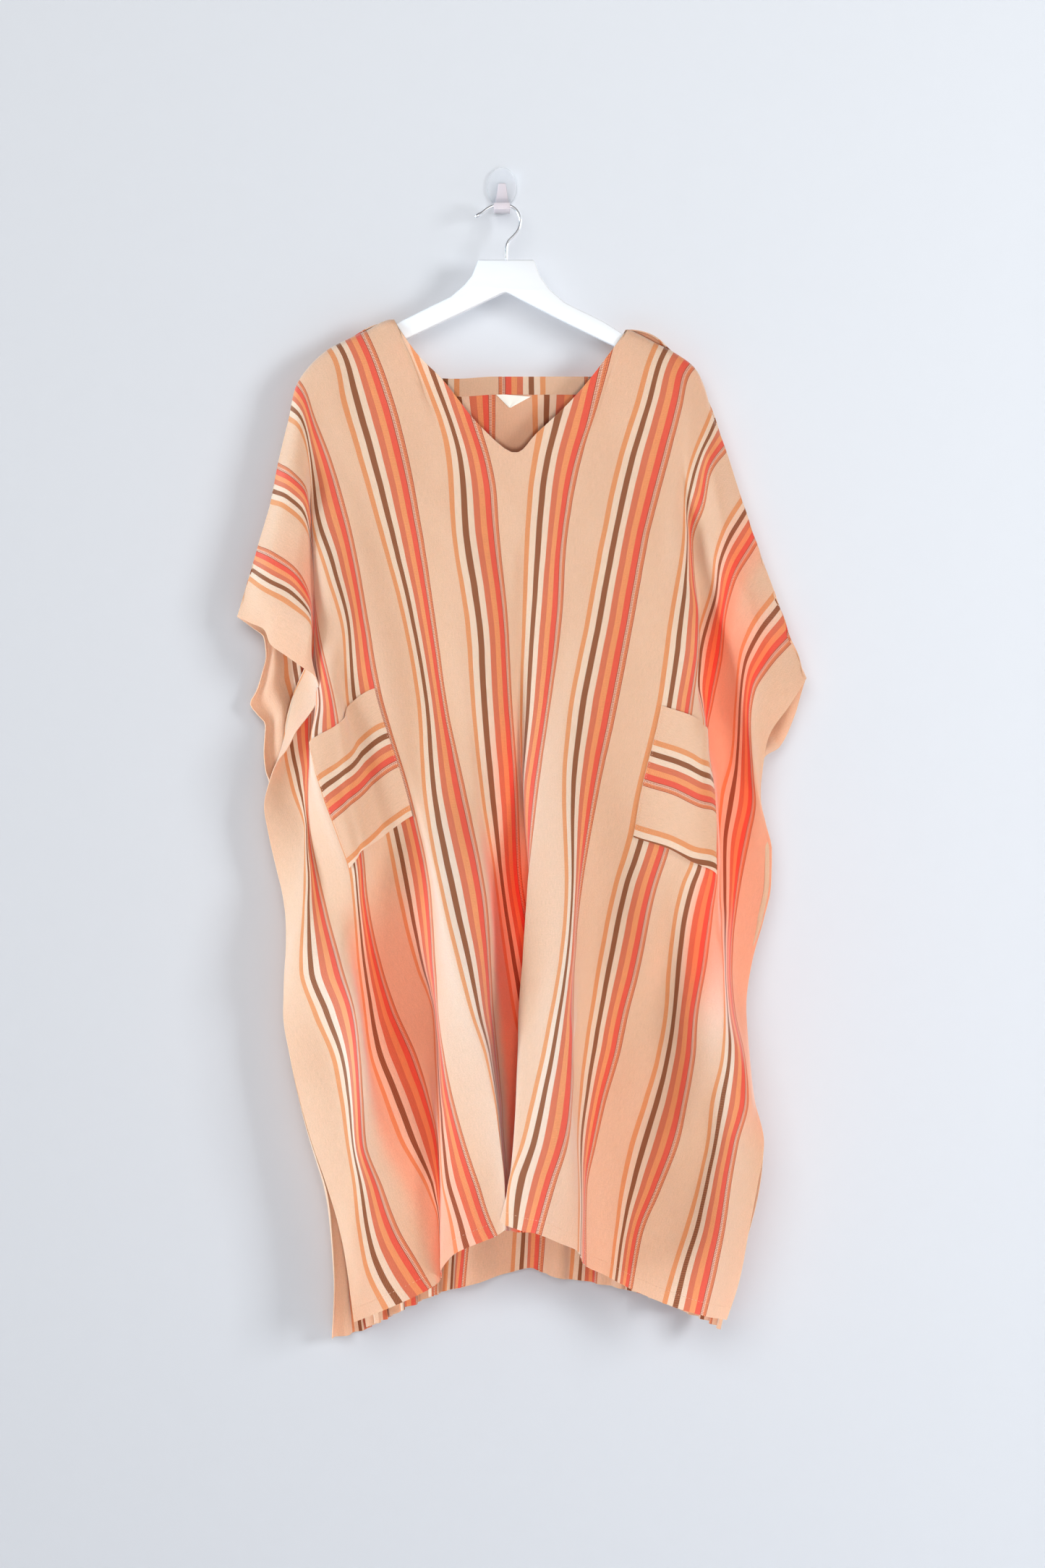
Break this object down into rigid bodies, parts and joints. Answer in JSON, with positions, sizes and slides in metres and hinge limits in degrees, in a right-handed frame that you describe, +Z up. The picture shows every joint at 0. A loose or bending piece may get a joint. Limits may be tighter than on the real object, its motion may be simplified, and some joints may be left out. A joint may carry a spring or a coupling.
{
  "type": "kaftan on a hanger",
  "caption": "Loose striped kaftan with V neck and patch pockets, hanging on a white wooden hanger from a clear adhesive wall hook.",
  "frame": {"origin": "centre of the wall hook's back face, where it sticks to the wall", "axes": "+Y into the wall, +Z up, +X to the right seen from the front; the garment lies at negative Y"},
  "size_m": [0.6625, 0.1388, 1.3657],
  "materials": {
    "striped_cloth": "handwoven cotton, peach with grouped stripes",
    "label_tape": "blank woven tape",
    "white_wood": "satin white paint",
    "chrome_wire": "polished",
    "clear_plastic": "clear, lightly frosted"
  },
  "bodies": {
    "root": {"front": "striped_cloth", "back": "striped_cloth", "pocket_left": "striped_cloth", "pocket_right": "striped_cloth", "neck_facing": "striped_cloth", "label": "label_tape", "hanger": "white_wood", "hanger_hook": "chrome_wire", "wall_hook": "clear_plastic"}
  },
  "joints": []
}
